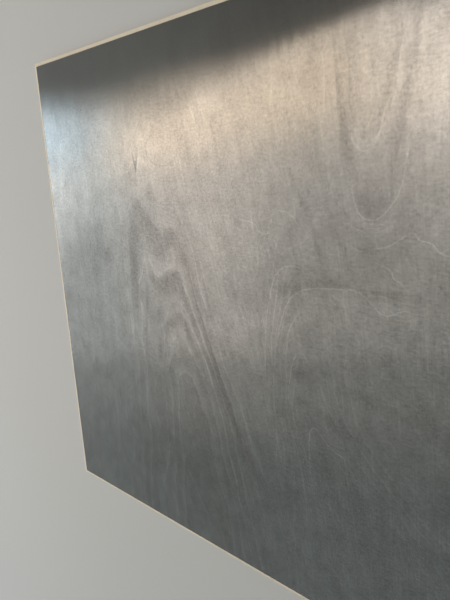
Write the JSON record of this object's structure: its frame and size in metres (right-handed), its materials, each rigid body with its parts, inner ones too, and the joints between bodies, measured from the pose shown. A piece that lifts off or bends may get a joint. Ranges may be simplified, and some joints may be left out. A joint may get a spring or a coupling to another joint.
{
  "type": "plywood sheet",
  "caption": "Flat rectangular plywood panel with a dark satin face over pale wood and shallow bevelled edges, for lining walls, backsplashes and cabinets.",
  "frame": {"origin": "middle of the back face, on the floor that the sheet lies on", "axes": "+X along the long edges, across the face grain; +Y along the face grain; +Z out of the dark good face"},
  "size_m": [1.22, 0.61, 0.012],
  "materials": {
    "filmed_plywood": "dark brown-grey satin film over rotary-cut veneer, with pale birch plies on the bevel and edges"
  },
  "bodies": {
    "root": {"plywood_sheet": "filmed_plywood"}
  },
  "joints": []
}
